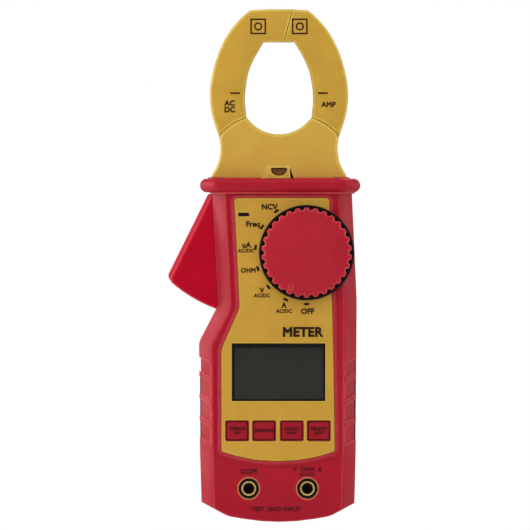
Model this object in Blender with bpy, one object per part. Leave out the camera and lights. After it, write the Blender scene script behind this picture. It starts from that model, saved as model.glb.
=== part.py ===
"""A digital clamp meter, standing upright, as the separate pieces that it is assembled from.

+Z runs from the foot of the case to the tip of the jaws, +X is to the right of someone reading the
display, and the display faces -Y. Lengths below are in millimetres, in which the meshes are made
and cut before all of them are scaled to metres. A depth is a distance in front of the flat back of
the case, a height is a distance above its foot, and an outline is a closed list of (x, height)
points.
"""

import math

import bmesh
import bpy
from mathutils import Matrix, Vector

MM = 0.001
GAP = 0.3  # clearance between neighbouring pieces
SWING_GAP = 0.2  # clearance between the jaws and the edges of the base that they swing past

# Case
CASE_TOP = 142.0
CASE_DEPTH = 32.0
SPLIT = 17.0  # depth of the joint between the two case halves
WALL = 2.2
REST_HEIGHT = 100.0  # height of the reference point on the back of the case
PANEL_RECESS = 1.3
SCREW_SPOTS = [(-23, 16), (23, 16), (-22.5, 84.5), (24, 124)]

# Jaws
PIVOT_X, PIVOT_HEIGHT = 6.0, 149.5
JAW_BACK, JAW_FRONT = 8.0, 26.0
COVER = 2.0  # thickness of the jaw base covers
BASE_REACH = 26.2  # radius, about a pivot, of the edge between jaw and base
WINDOW_ARC = (0, 183.9, 16.8)  # x, height and radius of the foot of the jaw opening
LEVER = (15.0, 19.0)  # depths of the two faces of the lever plates
GUARD = (142.12, 148.08)  # heights of the two faces of the hand guard
BASE_HALF = 23.0  # half the width of the foot of the jaw base, inside the case
BASE_SCREW_SPOTS = [(-19.7, 141.5), (19.7, 141.5)]
SEAM = (2.0, 206.6, 5.9, 220.9)  # x and height of the lower and upper end of the seam between the jaws
SEAM_LAP = 1.2  # how far the rear of the left jaw reaches behind the front of the right jaw
TRIGGER_REACH = 61.2
TRIGGER_DEPTHS = (10.0, 24.0)
TRIGGER_SCREW_SPOTS = [(-24.3, 118.4), (-29.0, 113.1)]

# Controls
KNOB_AT = (11.9, 116.2)
KNOB_RADIUS = 19.4
KNOB_FLUTES = 30
KNOB_REST = 24  # degrees clockwise from straight down, at which the pointer starts
BUTTON_XS = {"torch": -18.0, "minmax": -6.4, "hold": 5.5, "select": 17.1}
BUTTON_HEIGHT = 39.6
JACK_XS = {"com": -13.0, "volt": 12.2}
JACK_HEIGHT = 14.8
DISPLAY = (-20.3, 19.9, 52.4, 77.2)  # left, right, foot and top of the opening over the display

# Inside
PCB = (24.9, 26.4)
BATTERY_XS = (-5.8, 5.8)
BATTERY_RADIUS = 5.2
HATCH = (-14.0, 14.0, 24.0, 84.0)  # left, right, foot and top of the battery hatch

# Principled colour, roughness and metallic value of each finish
FINISHES = {
    "yellow_plastic": ((0.57, 0.34, 0.05), 0.55, 0.0),
    "red_plastic": ((0.42, 0.015, 0.03), 0.5, 0.0),
    "black_plastic": ((0.012, 0.012, 0.013), 0.45, 0.0),
    "display_glass": ((0.045, 0.042, 0.038), 0.12, 0.0),
    "lcd_glass": ((0.20, 0.22, 0.17), 0.2, 0.0),
    "smoke_lens": ((0.20, 0.08, 0.02), 0.2, 0.0),
    "keypad_rubber": ((0.06, 0.006, 0.008), 0.8, 0.0),
    "white_plastic": ((0.75, 0.75, 0.72), 0.4, 0.0),
    "circuit_board": ((0.01, 0.10, 0.03), 0.5, 0.0),
    "steel": ((0.55, 0.55, 0.56), 0.35, 1.0),
    "brass": ((0.75, 0.52, 0.20), 0.3, 1.0),
    "copper": ((0.70, 0.28, 0.12), 0.35, 1.0),
    "battery_sleeve": ((0.05, 0.07, 0.12), 0.35, 0.0),
}


# ---------------------------------------------------------------- outlines


def turn_sign(outline):
    """1 for an anticlockwise outline, -1 for a clockwise one."""
    area = sum(a[0] * b[1] - b[0] * a[1] for a, b in zip(outline, outline[1:] + outline[:1]))
    return 1 if area > 0 else -1


def offset(outline, inset):
    """The outline moved inwards by a distance, with its corners mitred."""
    sign = turn_sign(outline)
    moved = []
    for i, corner in enumerate(outline):
        here = Vector(corner[:2])
        along = (here - Vector(outline[i - 1][:2])).normalized()
        onwards = (Vector(outline[(i + 1) % len(outline)][:2]) - here).normalized()
        first = Vector((-along.y, along.x)) * sign
        second = Vector((-onwards.y, onwards.x)) * sign
        spot = here + (first + second) * inset / (1 + first.dot(second))
        moved.append((spot.x, spot.y))
    return moved


def rounded(corners, inset=0.0, facets_each=None):
    """The outline through (x, height, radius) corners, each turned into an arc."""
    sign = turn_sign(corners)
    spots = [Vector(spot) for spot in offset(corners, inset)]
    outline = []
    for i, here in enumerate(spots):
        to_last = (spots[i - 1] - here).normalized()
        to_next = (spots[(i + 1) % len(spots)] - here).normalized()
        bend = math.pi - to_last.angle(to_next)
        convex = to_next.cross(to_last) * sign > 0
        radius = corners[i][2]
        if radius == 0:
            outline.append((here.x, here.y))
            continue
        radius = max(radius - inset, 0.5) if convex else radius + inset
        centre = here + (to_last + to_next).normalized() * radius / math.cos(bend / 2)
        start = here + to_last * radius * math.tan(bend / 2) - centre
        turn = (1 if convex else -1) * sign * bend
        facets = facets_each or max(2, math.ceil(math.degrees(bend) / 18))
        for step in range(facets + 1):
            spot = centre + Matrix.Rotation(turn * step / facets, 2) @ start
            outline.append((spot.x, spot.y))
    return outline


def arc(centre, radius, start, end, facets):
    """Points on a circle, with angles in degrees from +X towards +Z."""
    angles = [math.radians(start + (end - start) * i / facets) for i in range(facets + 1)]
    return [(centre[0] + radius * math.cos(a), centre[1] + radius * math.sin(a)) for a in angles]


def curve(points, facets=3):
    """A smooth open curve through the points, ends included."""
    points = [Vector(point) for point in points]
    padded = [2 * points[0] - points[1], *points, 2 * points[-1] - points[-2]]
    line = []
    for a, b, c, d in zip(padded, padded[1:], padded[2:], padded[3:]):
        for step in range(facets):
            t = step / facets
            spot = b + (c - a) * t / 2 + (2 * a - 5 * b + 4 * c - d) * t * t / 2
            spot += (3 * b - a - 3 * c + d) * t**3 / 2
            line.append((spot.x, spot.y))
    line.append((points[-1].x, points[-1].y))
    return line


def ribbon(points, width):
    """The outline of a band of one width along a line of points."""
    left, right = [], []
    for i, point in enumerate(points):
        here = Vector(point)
        ahead = Vector(points[min(i + 1, len(points) - 1)])
        behind = Vector(points[max(i - 1, 0)])
        along = (ahead - behind).normalized()
        side = Vector((-along.y, along.x)) * width / 2
        left.append(tuple(here + side))
        right.append(tuple(here - side))
    return left + right[::-1]


def block(left, right, low, high):
    return [(left, low), (right, low), (right, high), (left, high)]


def mirrored(outline):
    return [(-x, z) for x, z in outline]


# ---------------------------------------------------------------- solids


def clear_scene():
    for obj in list(bpy.data.objects):
        bpy.data.objects.remove(obj, do_unlink=True)


def material(finish):
    """The finish's material, made the first time that it is asked for."""
    made = bpy.data.materials.get(finish)
    if made is None:
        colour, roughness, metallic = FINISHES[finish]
        made = bpy.data.materials.new(finish)
        made.use_nodes = True
        shader = made.node_tree.nodes["Principled BSDF"]
        shader.inputs["Base Color"].default_value = (*colour, 1)
        shader.inputs["Roughness"].default_value = roughness
        shader.inputs["Metallic"].default_value = metallic
    return made


def add_object(name, finish, bm):
    bmesh.ops.recalc_face_normals(bm, faces=bm.faces)
    mesh = bpy.data.meshes.new(name)
    bm.to_mesh(mesh)
    bm.free()
    mesh.materials.append(material(finish))
    mesh.shade_smooth()
    mesh.set_sharp_from_angle(angle=math.radians(30))
    obj = bpy.data.objects.new(name, mesh)
    bpy.context.scene.collection.objects.link(obj)
    return obj


def loft(name, finish, sections, along="Y"):
    """A closed solid through (level, outline) sections, whose outlines have equally many points.

    Along Y a level is a depth. Along Z it is a height, and the outlines hold (x, depth) points.
    """
    bm = bmesh.new()
    rings = []
    for level, outline in sections:
        if along == "Y":
            spots = [(x, -level, z) for x, z in outline]
        else:
            spots = [(x, -depth, level) for x, depth in outline]
        rings.append([bm.verts.new(spot) for spot in spots])
    for lower, upper in zip(rings, rings[1:]):
        for i in range(len(lower)):
            bm.faces.new((lower[i - 1], lower[i], upper[i], upper[i - 1]))
    bm.faces.new(rings[0])
    bm.faces.new(rings[-1][::-1])
    return add_object(name, finish, bm)


def prism(name, finish, outline, back, front, edge=0.0, along="Y"):
    """An outline made solid between two levels, with its front edge rounded over."""
    sections = [(back, outline)]
    if edge:
        sections.append((front - edge, outline))
        sections.append((front - edge * 0.35, offset(outline, edge * 0.3)))
        outline = offset(outline, edge)
    return loft(name, finish, [*sections, (front, outline)], along)


def turned(name, finish, axis_at, profile, along="Y", segments=24):
    """A solid turned about an axis, from a loop of (radius, level) points.

    One without a bore has a profile that starts and ends on the axis.
    """
    bm = bmesh.new()
    first, second = axis_at
    if along == "Y":
        spots = [(first + radius, -level, second) for radius, level in profile]
        centre, axis = (first, 0, second), (0, 1, 0)
    else:
        spots = [(first + radius, -second, level) for radius, level in profile]
        centre, axis = (first, -second, 0), (0, 0, 1)
    verts = [bm.verts.new(spot) for spot in spots]
    edges = [bm.edges.new(pair) for pair in zip(verts, verts[1:])]
    if profile[0][0] > 0:
        edges.append(bm.edges.new((verts[-1], verts[0])))
    bmesh.ops.spin(
        bm,
        geom=verts + edges,
        cent=centre,
        axis=axis,
        angle=math.tau,
        steps=segments,
        use_merge=True,
    )
    bmesh.ops.remove_doubles(bm, verts=bm.verts, dist=1e-4)
    return add_object(name, finish, bm)


def rod(name, finish, axis_at, radius, back, front, along="Y", segments=20):
    profile = [(0, back), (radius, back), (radius, front), (0, front)]
    return turned(name, finish, axis_at, profile, along, segments)


def tube(name, finish, axis_at, outer, inner, back, front, segments=24):
    profile = [(inner, back), (outer, back), (outer, front), (inner, front)]
    return turned(name, finish, axis_at, profile, "Y", segments)


def combine(obj, others, operation):
    """The object after a Boolean with each of the others, which are used up.

    All the solids are closed, and the manifold solver leaves no open edges where faces of the
    thin shells nearly coincide.
    """
    for other in others:
        modifier = obj.modifiers.new(operation, "BOOLEAN")
        modifier.operation = operation
        modifier.solver = "MANIFOLD"
        modifier.object = other
        bpy.context.view_layer.update()
        graph = bpy.context.evaluated_depsgraph_get()
        mesh = bpy.data.meshes.new_from_object(obj.evaluated_get(graph))
        obj.modifiers.clear()
        obj.data = mesh
        bpy.data.objects.remove(other, do_unlink=True)
    mesh.name = obj.name
    mesh.shade_smooth()
    mesh.set_sharp_from_angle(angle=math.radians(30))
    return obj


def cut(obj, *cutters):
    return combine(obj, cutters, "DIFFERENCE")


def join(obj, *others):
    return combine(obj, others, "UNION")


def slab(outline, back, front, along="Y"):
    """A cutter with no edges rounded."""
    return prism("cutter", "steel", outline, back, front, along=along)


def bore(axis_at, radius, back, front, segments=20):
    return rod("cutter", "steel", axis_at, radius, back, front, "Y", segments)


def hinge(name, x, depth, height):
    """An empty on a joint's axis, which the moving pieces hang on."""
    empty = bpy.data.objects.new(name, None)
    empty.location = Vector((x, -depth, height)) * MM
    bpy.context.scene.collection.objects.link(empty)
    return empty


def hang(joint, *pieces):
    """Moves each piece's origin to the joint's axis and parents it there."""
    for piece in pieces:
        piece.data.transform(Matrix.Translation(-joint.location))
        piece.parent = joint


# ---------------------------------------------------------------- case


# The sides of the case run on past its top and its foot, which are cut to shape afterwards.
CASE_CORNERS = [
    (30.9, 152, 0),
    (33.4, 96, 90),
    (33.0, 32, 90),
    (31.9, -15, 0),
    (-32.6, -15, 0),
    (-34.0, 32, 90),
    (-34.4, 77.8, 6),
    (-26.2, 93.7, 6),
    (-29.3, 152, 0),
]

FOOT_CORNERS = [(-60, 23.4, 0), (-22, 2.9, 12), (0, -0.9, 90), (22, 2.9, 12), (60, 23.4, 0)]

PANEL_CORNERS = [
    (21.7, 139.8, 1.5),
    (23.4, 76, 20),
    (24.1, 30.6, 1.5),
    (16.5, 28.4, 12),
    (8.5, 26.9, 12),
    (-0.5, 26.4, 12),
    (-9.5, 26.9, 12),
    (-17.5, 28.4, 12),
    (-24.9, 30.6, 1.5),
    (-24.9, 74.8, 8),
    (-17.0, 92.5, 8),
    (-19.4, 139.8, 1.5),
]


def grip_pockets(outer_sections, back, front):
    """Cutters for the shallow slanted pockets, with ribs between them, in both sides of the case."""
    pockets = []
    rise, fall = 6.4, 3.3
    for low, high in ((36.4, 43.6), (45.9, 53.2), (55.4, 62.7), (64.9, 70.9)):
        inner_end = [(27.2, low - fall, 1.2), (27.2, high - fall, 1.2)]
        band = [(45, low + rise, 0), *inner_end, (45, high + rise, 0)]
        for side in (-1, 1):
            pocket = slab(rounded([(side * x, z, radius) for x, z, radius in band]), back, front)
            core = [(level, offset(outline, 0.7)) for level, outline in outer_sections]
            pockets.append(cut(pocket, loft("core", "steel", core)))
    return pockets


def below_foot(lift):
    """A cutter for what lies below the case's foot, or below the inside of its floor."""
    corners = [*FOOT_CORNERS, (60, -60, 0), (-60, -60, 0)]
    return slab([(x, z + lift) for x, z in rounded(corners, facets_each=4)], -10, 45)


def case_shell(name, outer, inner):
    """Half a case from (level, inset) pairs for its outside and its hollow, cut off at both ends."""
    outside = [(level, rounded(CASE_CORNERS, inset)) for level, inset in outer]
    hollow = [(level, rounded(CASE_CORNERS, inset)) for level, inset in inner]
    case = loft(name, "red_plastic", outside)
    roof = slab(block(-40, 40, CASE_TOP - WALL, 160), -10, 45)
    hollow = cut(loft("cutter", "steel", hollow), roof, below_foot(WALL))
    top = slab(block(-50, 50, CASE_TOP, 160), -10, 45)
    return cut(case, hollow, top, below_foot(0)), outside


def trigger_slot():
    low, high = TRIGGER_DEPTHS
    return slab(block(-60, -22.6, 90.4, CASE_TOP + 1), low - 0.6, high + 0.6)


def make_front_case():
    back = SPLIT + GAP / 2
    outer = ((back, 0), (24.5, 0), (31.4, 4.6), (CASE_DEPTH, 5.5))
    inner = ((back - 1, WALL), (23.6, WALL), (29.0, 6.2))
    case, shape = case_shell("front_case", outer, inner)
    core = [(back - 2, shape[0][1]), *shape[1:]]
    case = cut(case, *grip_pockets(core, back - 1, 31.2))
    case = cut(case, panel_slope())
    lip = prism("lip", "red_plastic", rounded(PANEL_CORNERS, -1.2), 30.0, CASE_DEPTH + 0.35, 0.3)
    case = join(case, lip)
    for spot in SCREW_SPOTS:
        case = join(case, rod("boss", "red_plastic", spot, 3.0, back, 29.6))
    boss_front = CASE_DEPTH + 0.1
    case = join(case, rod("knob_boss", "red_plastic", KNOB_AT, 20.2, 29.2, boss_front, segments=64))
    case = cut(case, slab(rounded(PANEL_CORNERS, -GAP / 2), CASE_DEPTH - PANEL_RECESS, 40))
    case = cut(case, trigger_slot(), base_passage())
    case = cut(case, bore(KNOB_AT, 6.6, 20, 40, 32))
    case = cut(case, slab(block(*DISPLAY), 20, 40))
    case = cut(case, slab(block(-18.2, -12.1, 131.2, 134.0), 20, 40))
    for button in BUTTON_XS.values():
        hole = block(button - 4.6, button + 4.6, BUTTON_HEIGHT - 3.95, BUTTON_HEIGHT + 3.95)
        case = cut(case, slab(hole, 20, 40))
    for jack in JACK_XS.values():
        case = cut(case, bore((jack, JACK_HEIGHT), 4.75, 20, 40, 24))
    for spot in SCREW_SPOTS:
        case = cut(case, bore(spot, 1.6, back - 1, 25.0, 16))


def panel_slope():
    """A cutter that lets the front of the case slope down towards the lip round the face plate."""
    low, high = rounded(PANEL_CORNERS, -1.2), rounded(PANEL_CORNERS, -4.4)
    return loft("cutter", "steel", [(31.2, low), (32.2, high)])


def make_rear_case():
    front = SPLIT - GAP / 2
    outer = ((0, 5.8), (1.0, 4.6), (6.5, 0), (front, 0))
    inner = ((WALL, 7.0), (7.4, WALL), (front + 1, WALL))
    case, shape = case_shell("rear_case", outer, inner)
    core = [*shape[:-1], (front + 2, shape[-1][1])]
    case = cut(case, *grip_pockets(core, 2.0, front + 1))
    for spot in SCREW_SPOTS:
        case = join(case, rod("boss", "red_plastic", spot, 4.2, 1.2, front))
    case = cut(case, trigger_slot(), base_passage())
    for spot in SCREW_SPOTS:
        case = cut(case, bore(spot, 1.6, -1, front + 1, 16), bore(spot, 3.1, -1, 3.0))
    label = [(x, z, 2) for x, z in block(-20, 14, 104, 134)]
    left, right, foot, top = HATCH
    cut(case, slab(block(left, right, foot, top), -5, WALL + 2), slab(rounded(label), -5, 0.35))


def base_passage():
    """The way through the top of the case for the foot of the jaw base."""
    half = BASE_HALF + GAP
    low, high = JAW_BACK - GAP, JAW_FRONT + GAP
    return slab(block(-half, half, CASE_TOP - 8, CASE_TOP + 8), low - GAP, high + GAP)


def make_case_screws():
    profile = [(0, 0.7), (2.8, 0.7), (2.8, 2.7), (1.3, 2.7), (1.3, 23.5), (0, 23.5)]
    for number, spot in enumerate(SCREW_SPOTS, 1):
        screw = turned(f"case_screw_{number}", "steel", spot, profile, segments=14)
        cut(screw, *cross_slot(spot, 0.7))


def cross_slot(spot, back):
    """Cutters for the cross recess in a screw's head."""
    x, height = spot
    across = block(x - 1.7, x + 1.7, height - 0.3, height + 0.3)
    upright = block(x - 0.3, x + 0.3, height - 1.7, height + 1.7)
    return slab(across, back - 1, back + 1), slab(upright, back - 1, back + 1)


def make_hand_guard():
    low, high = GUARD
    corners = [(-34, 8, 5), (-27, 0.6, 5), (28, 0.6, 5), (35, 8, 5)]
    corners += [(35, 28, 5), (28, 35.6, 5), (-27, 35.6, 5), (-34, 28, 5)]
    bead, widest = (high - low) / 2, math.radians(78)
    sections = []
    for step in range(-3, 4):
        angle = widest * step / 3
        height = (low + high) / 2 + bead * math.sin(angle) / math.sin(widest)
        sections.append((height, rounded(corners, bead * (1 - math.cos(angle)))))
    guard = loft("hand_guard", "red_plastic", sections, along="Z")
    for left, right in ((-30.4, -7.9), (7.1, 30.4)):
        for back in (JAW_BACK - 2 * GAP - 1.0, JAW_FRONT + 2 * GAP):
            rim = block(left, right, back, back + 1.0)
            guard = join(guard, prism("rim", "red_plastic", rim, high - 1, high + 0.5, along="Z"))
    brow = [(-29.4, 24.9), (-24.8, 31.85), (-23.6, 32.78)]
    brow += [(26.2, 32.78), (27.4, 31.85), (32.0, 24.9)]
    brow = prism("brow", "red_plastic", ribbon(brow, 0.9), low - 0.6, low + 0.9, along="Z")
    guard = join(guard, brow)
    half = BASE_HALF + GAP
    passage = block(-half, half, JAW_BACK - 2 * GAP, JAW_FRONT + 2 * GAP)
    return cut(guard, slab(passage, low - 2, high + 2, along="Z"))


def make_face_plate():
    back = CASE_DEPTH - PANEL_RECESS + GAP
    front = CASE_DEPTH + 0.2
    sections = [(back, 0), (front - 0.3, 0), (front, 0.3)]
    sections = [(level, rounded(PANEL_CORNERS, inset)) for level, inset in sections]
    plate = loft("face_plate", "yellow_plastic", sections)
    plate = cut(plate, bore(KNOB_AT, 7.4, 20, 40, 32))
    plate = cut(plate, slab(block(*DISPLAY), 20, 40))
    plate = cut(plate, slab(block(-17.5, -12.8, 131.8, 133.4), 20, 40))
    for button in BUTTON_XS.values():
        hole = [(x, z, 0.9) for x, z in block(button - 5.15, button + 5.15, 35.1, 44.1)]
        plate = cut(plate, slab(rounded(hole), 20, 40))


# ---------------------------------------------------------------- jaws


def jaw_outline():
    """The right jaw, from past the seam at its tip down to its boss on the pivot."""
    outer = curve(
        [(12.4, 220.4), (16.6, 216.8), (22.6, 209.2), (27.2, 198.6), (29.6, 187), (29.0, 176.5), (25.8, 166)]
    )
    foot = [(24.4, 160.5)]
    boss = arc((PIVOT_X, PIVOT_HEIGHT), 5.5, -50, -210, 8)
    hidden = [(12.6, 163), (14.7, 170.2)]
    inner = curve([(14.0, 174.4), (14.7, 183), (13.3, 193), (10.7, 199.6), (6.6, 206.6)])
    return [(-9.5, 220.8), (4, 220.9), *outer, *foot, *boss, *hidden, *inner, (-9.5, 206.6)]


def seam_side(keep_left, lap):
    """The outline of what lies past the seam, which leans as it runs from the opening to the tip."""
    x_low, low, x_high, high = SEAM
    lean = (x_high - x_low) / (high - low)
    shift = lap - GAP / 2 if keep_left else lap + GAP / 2
    foot, tip = (x_low - 10 * lean + shift, low - 10), (x_high + 10 * lean + shift, high + 10)
    far = 40 if keep_left else -40
    return [foot, tip, (far, tip[1]), (far, foot[1])]


def core_line():
    """The middle of the right jaw, along which its magnetic core runs."""
    return curve([(9.3, 213.4), (15.6, 209.2), (19.6, 201), (22.2, 187), (21.6, 177), (19.2, 170)], 4)


def make_jaw(side):
    """One jaw's two shells, with the core and coil that they hold."""
    flip = mirrored if side == "left" else list
    pivot = flip([(PIVOT_X, PIVOT_HEIGHT)])[0]
    outline = flip(jaw_outline())
    cavity = flip(ribbon(core_line(), 10.8))
    thin_front, thin_back = JAW_FRONT - COVER, JAW_BACK + COVER
    faces = ((JAW_FRONT, SPLIT + GAP / 2, 1), (JAW_BACK, SPLIT - GAP / 2, -1))
    for which, (face, split, out) in zip(("front", "rear"), faces):
        levels = ((split, 0), (face - 1.3 * out, 0), (face - 0.4 * out, 0.4), (face, 1.3))
        sections = [(level, offset(outline, inset)) for level, inset in levels]
        shell = loft(f"{side}_jaw_{which}_shell", "yellow_plastic", sections)
        thin = thin_front if out > 0 else thin_back
        step = bore(pivot, BASE_REACH + SWING_GAP / 2, *sorted((thin, face + 3 * out)), 64)
        slot = bore(pivot, 16.3, *sorted((split - out, 17 + 2.3 * out)), 48)
        hollow = slab(cavity, *sorted((split - out, face - 2.2 * out)))
        pin = bore(pivot, 2.3, 0, 40)
        seam = slab(seam_side(side == "left", 0 if out > 0 else SEAM_LAP), 0, 40)
        shell = cut(shell, seam, step, slot, hollow, pin)
        if out < 0:
            cut(shell, bore(pivot, 7.5, 12.0, 18))
    prism(f"{side}_core", "steel", flip(ribbon(core_line()[:-2], 5.0)), 14.0, 20.0)
    winding = core_line()[8:15]
    coil = prism(f"{side}_coil", "copper", flip(ribbon(winding, 10.0)), 11.2, 22.8)
    longer = core_line()[6:17]
    cut(coil, slab(flip(ribbon(longer, 5.6)), 13.7, 20.3))


def gear_outline(pivot, start):
    """A twelve-toothed gear of pitch radius 6, with one tooth at the start angle in degrees."""
    outline = []
    for tooth in range(12):
        middle = start + 30 * tooth
        for radius, shift in ((4.9, -8.2), (6.75, -3.4), (6.75, 3.4), (4.9, 8.2)):
            angle = math.radians(middle + shift)
            spot = (pivot[0] + radius * math.cos(angle), pivot[1] + radius * math.sin(angle))
            outline.append(spot)
    return outline


def make_levers():
    """The geared plates that make the jaws open together, one of them with the trigger's tail."""
    for side, sign, start in (("left", -1, 0), ("right", 1, 165)):
        pivot = (sign * PIVOT_X, PIVOT_HEIGHT)
        lever = prism(f"{side}_lever", "steel", gear_outline(pivot, start), *LEVER)
        reach = [pivot, (sign * (PIVOT_X + 8.5), PIVOT_HEIGHT + 13.1)]
        lever = join(lever, prism("finger", "steel", ribbon(reach, 7), *LEVER))
        if side == "left":
            lever = join(lever, prism("tail", "steel", ribbon(tail_line(), 8), *LEVER))
            for spot in TRIGGER_SCREW_SPOTS:
                lever = cut(lever, bore(spot, 1.5, 0, 40, 16))
        cut(lever, bore(pivot, 2.3, 0, 40))


def tail_line():
    return curve([(-PIVOT_X, PIVOT_HEIGHT), (-12, 136), (-22, 121), (-30, 112)], 2)


def make_pivots():
    profile = [(0, 8.6), (1.7, 8.6), (2.0, 8.9), (2.0, 25.0), (1.7, 25.3), (0, 25.3)]
    for side, sign in (("left", -1), ("right", 1)):
        pivot = (sign * PIVOT_X, PIVOT_HEIGHT)
        turned(f"{side}_pivot_pin", "steel", pivot, profile, segments=20)
        make_spring(f"{side}_jaw_spring", pivot, sign)


def make_spring(name, pivot, sign):
    """A torsion spring's coil round the pivot pin."""
    turns, radius, wire, pitch, first = 1.75, 3.6, 0.38, 0.95, 12.55
    points = 20
    line = bpy.data.curves.new(name, "CURVE")
    line.dimensions = "3D"
    line.bevel_depth = wire * MM
    line.bevel_resolution = 1
    line.use_fill_caps = True
    spline = line.splines.new("POLY")
    spline.points.add(points)
    for i, point in enumerate(spline.points):
        angle = sign * math.tau * turns * i / points
        depth = first + pitch * turns * i / points
        x, height = pivot[0] + radius * math.cos(angle), pivot[1] + radius * math.sin(angle)
        point.co = (x * MM, -depth * MM, height * MM, 1)
    line.materials.append(material("steel"))
    spring = bpy.data.objects.new(name, line)
    bpy.context.scene.collection.objects.link(spring)


def base_outline():
    """The cover of the jaw base: edges that the jaws swing past, a waist and a foot in the case."""
    pivot = (PIVOT_X, PIVOT_HEIGHT)
    x, height, radius = WINDOW_ARC
    foot = arc((x, height), radius, -90, -35.6, 9)
    edge = arc(pivot, BASE_REACH - SWING_GAP / 2, 71.5, 44.2, 6)
    waist = curve([(25.6, 165.2), (25.2, 160.6), (26.3, 154.4), (29.7, 148.2)])
    right = [*foot, *edge, *waist, (BASE_HALF, 148.2), (BASE_HALF, 130)]
    return right + mirrored(right[1:])[::-1]


def make_base_cover(which):
    """The front or rear cover of the jaw base, with its share of the wall below the opening."""
    out = 1 if which == "front" else -1
    inner = SPLIT + out * (9 - COVER + GAP)
    face = inner + out * COVER
    split = SPLIT + out * GAP / 2
    levels = ((inner, 0), (face - 0.7 * out, 0), (face, 0.7))
    sections = [(level, offset(base_outline(), inset)) for level, inset in levels]
    cover = loft(f"base_{which}_cover", "yellow_plastic", sections)
    x, height, radius = WINDOW_ARC
    spread = 43.5
    rim = arc((x, height), radius + 0.3, -90 - spread, -90 + spread, 14)
    rim += arc((x, height), radius + 1.9, -90 + spread, -90 - spread, 14)
    overlap = inner + 0.8 * out
    cover = join(cover, prism("rim", "yellow_plastic", rim, *sorted((split, overlap))))
    for spot in BASE_SCREW_SPOTS:
        post = rod("post", "yellow_plastic", spot, 3.0, *sorted((split, overlap)), segments=16)
        cover = join(cover, post)
    if which == "front":
        cover = cut(join(cover, torch_block()), torch_hole(0.0, 20, 40), torch_notch())
    for spot in BASE_SCREW_SPOTS:
        cover = cut(cover, bore(spot, 1.2, 7.0, 24.5, 12), bore(spot, 2.2, 7.0, 9.9, 16))
    for sign in (-1, 1):
        pocket = sorted((split, inner + 1.3 * out))
        cover = cut(cover, bore((sign * PIVOT_X, PIVOT_HEIGHT), 2.3, *pocket))


def make_base_screws():
    profile = [(0, 8.2), (1.9, 8.2), (1.9, 9.6), (0.9, 9.6), (0.9, 23.6), (0, 23.6)]
    for side, spot in zip(("left", "right"), BASE_SCREW_SPOTS):
        screw = turned(f"base_{side}_screw", "steel", spot, profile, segments=12)
        cut(screw, *cross_slot(spot, 8.2 - 0.4))


# ---------------------------------------------------------------- torch


def torch_block():
    """The raised block round the torch lens, sloping off at its sides."""
    low = [(-6.9, 148.2), (6.8, 148.2), (5.3, 153.3), (-5.0, 153.3)]
    high = [(-5.8, 148.2), (6.2, 148.2), (4.6, 153.0), (-4.5, 153.0)]
    return loft("torch_block", "yellow_plastic", [(25.8, low), (28.4, high)])


def torch_outline(inset):
    """A D lying on its back: a flat top over a shallow bowl."""
    corners = [(-3.55, 152.7, 0.4), (-3.2, 150.6, 1.6), (-1.4, 149.3, 1.6)]
    corners += [(1.4, 149.3, 1.6), (3.2, 150.6, 1.6), (3.55, 152.7, 0.4)]
    return rounded(corners, inset)


def torch_hole(inset, back, front):
    return slab(torch_outline(inset), back, front)


def torch_notch():
    """A wedge cut into the block beside the lens, narrowing upwards."""
    return slab([(4.9, 148.0), (6.4, 148.0), (5.0, 152.3), (4.6, 152.3)], 26.2, 40)


def make_torch():
    sections = [(26.2, GAP), (27.6, GAP), (27.9, GAP + 0.4)]
    loft("torch_lens", "smoke_lens", [(level, torch_outline(inset)) for level, inset in sections])
    profile = [(0, 24.5), (1.2, 24.5), (1.2, 25.3), (0.9, 25.7), (0, 25.9)]
    turned("torch_led", "white_plastic", (0, 151.1), profile, segments=16)


# ---------------------------------------------------------------- trigger


def trigger_outline(edge):
    """The trigger's wedge, its long outer edge moved in by a distance."""
    top, tip = Vector((-30.5, 141.4)), Vector((-47.9, 106.3))
    along = (tip - top).normalized()
    inward = Vector((-along.y, along.x)) * edge
    top, tip = top + inward, tip + inward
    reach = TRIGGER_REACH
    sweep = arc((-PIVOT_X, PIVOT_HEIGHT), reach, 229.0, 252.9, 8)
    corners = [(top.x, top.y, 0), (tip.x, tip.y, 2.4)]
    start = Vector(sweep[0])
    blunt = rounded([*corners, (start.x, start.y, 0)], facets_each=5)[1:-1]
    return [(top.x, top.y), *blunt, *sweep, (-20.5, 105), (-20.5, 125), (-27.4, 141.4)]


def make_trigger():
    back, front = TRIGGER_DEPTHS
    levels = ((back, 1.6), (back + 2.4, 0), (front - 2.4, 0), (front, 1.8))
    sections = [(level, trigger_outline(edge)) for level, edge in levels]
    trigger = loft("trigger", "red_plastic", sections)
    tail = ribbon(tail_line(), 8 + 2 * GAP)
    low, high = LEVER
    end = slab(block(-33.6, -24, 108.6, 112.8), low - GAP, high + GAP)
    trigger = cut(trigger, join(slab(tail, low - GAP, high + GAP), end))
    profile = [(0, 10.6), (2.1, 10.6), (2.1, 12.2), (1.2, 12.2), (1.2, 21.6), (0, 21.6)]
    for number, spot in enumerate(TRIGGER_SCREW_SPOTS, 1):
        trigger = cut(trigger, bore(spot, 1.5, 0, 22.0, 16), bore(spot, 2.4, 0, 12.5))
        screw = turned(f"trigger_screw_{number}", "steel", spot, profile, segments=12)
        cut(screw, *cross_slot(spot, 10.6 - 0.4))


# ---------------------------------------------------------------- controls


def knob_outline(inset):
    """The knob's rim, with a small round notch in each of its lobes' gaps."""
    outline = []
    for flute in range(KNOB_FLUTES):
        for share, depth in ((0, 1.1), (0.2, 0.7), (0.3, 0), (0.7, 0), (0.8, 0.7)):
            angle = math.tau * (flute + share) / KNOB_FLUTES
            radius = KNOB_RADIUS - max(inset, depth if inset < 1 else 0)
            spot = Vector((math.cos(angle), math.sin(angle))) * radius
            outline.append((KNOB_AT[0] + spot.x, KNOB_AT[1] + spot.y))
    return outline


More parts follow.
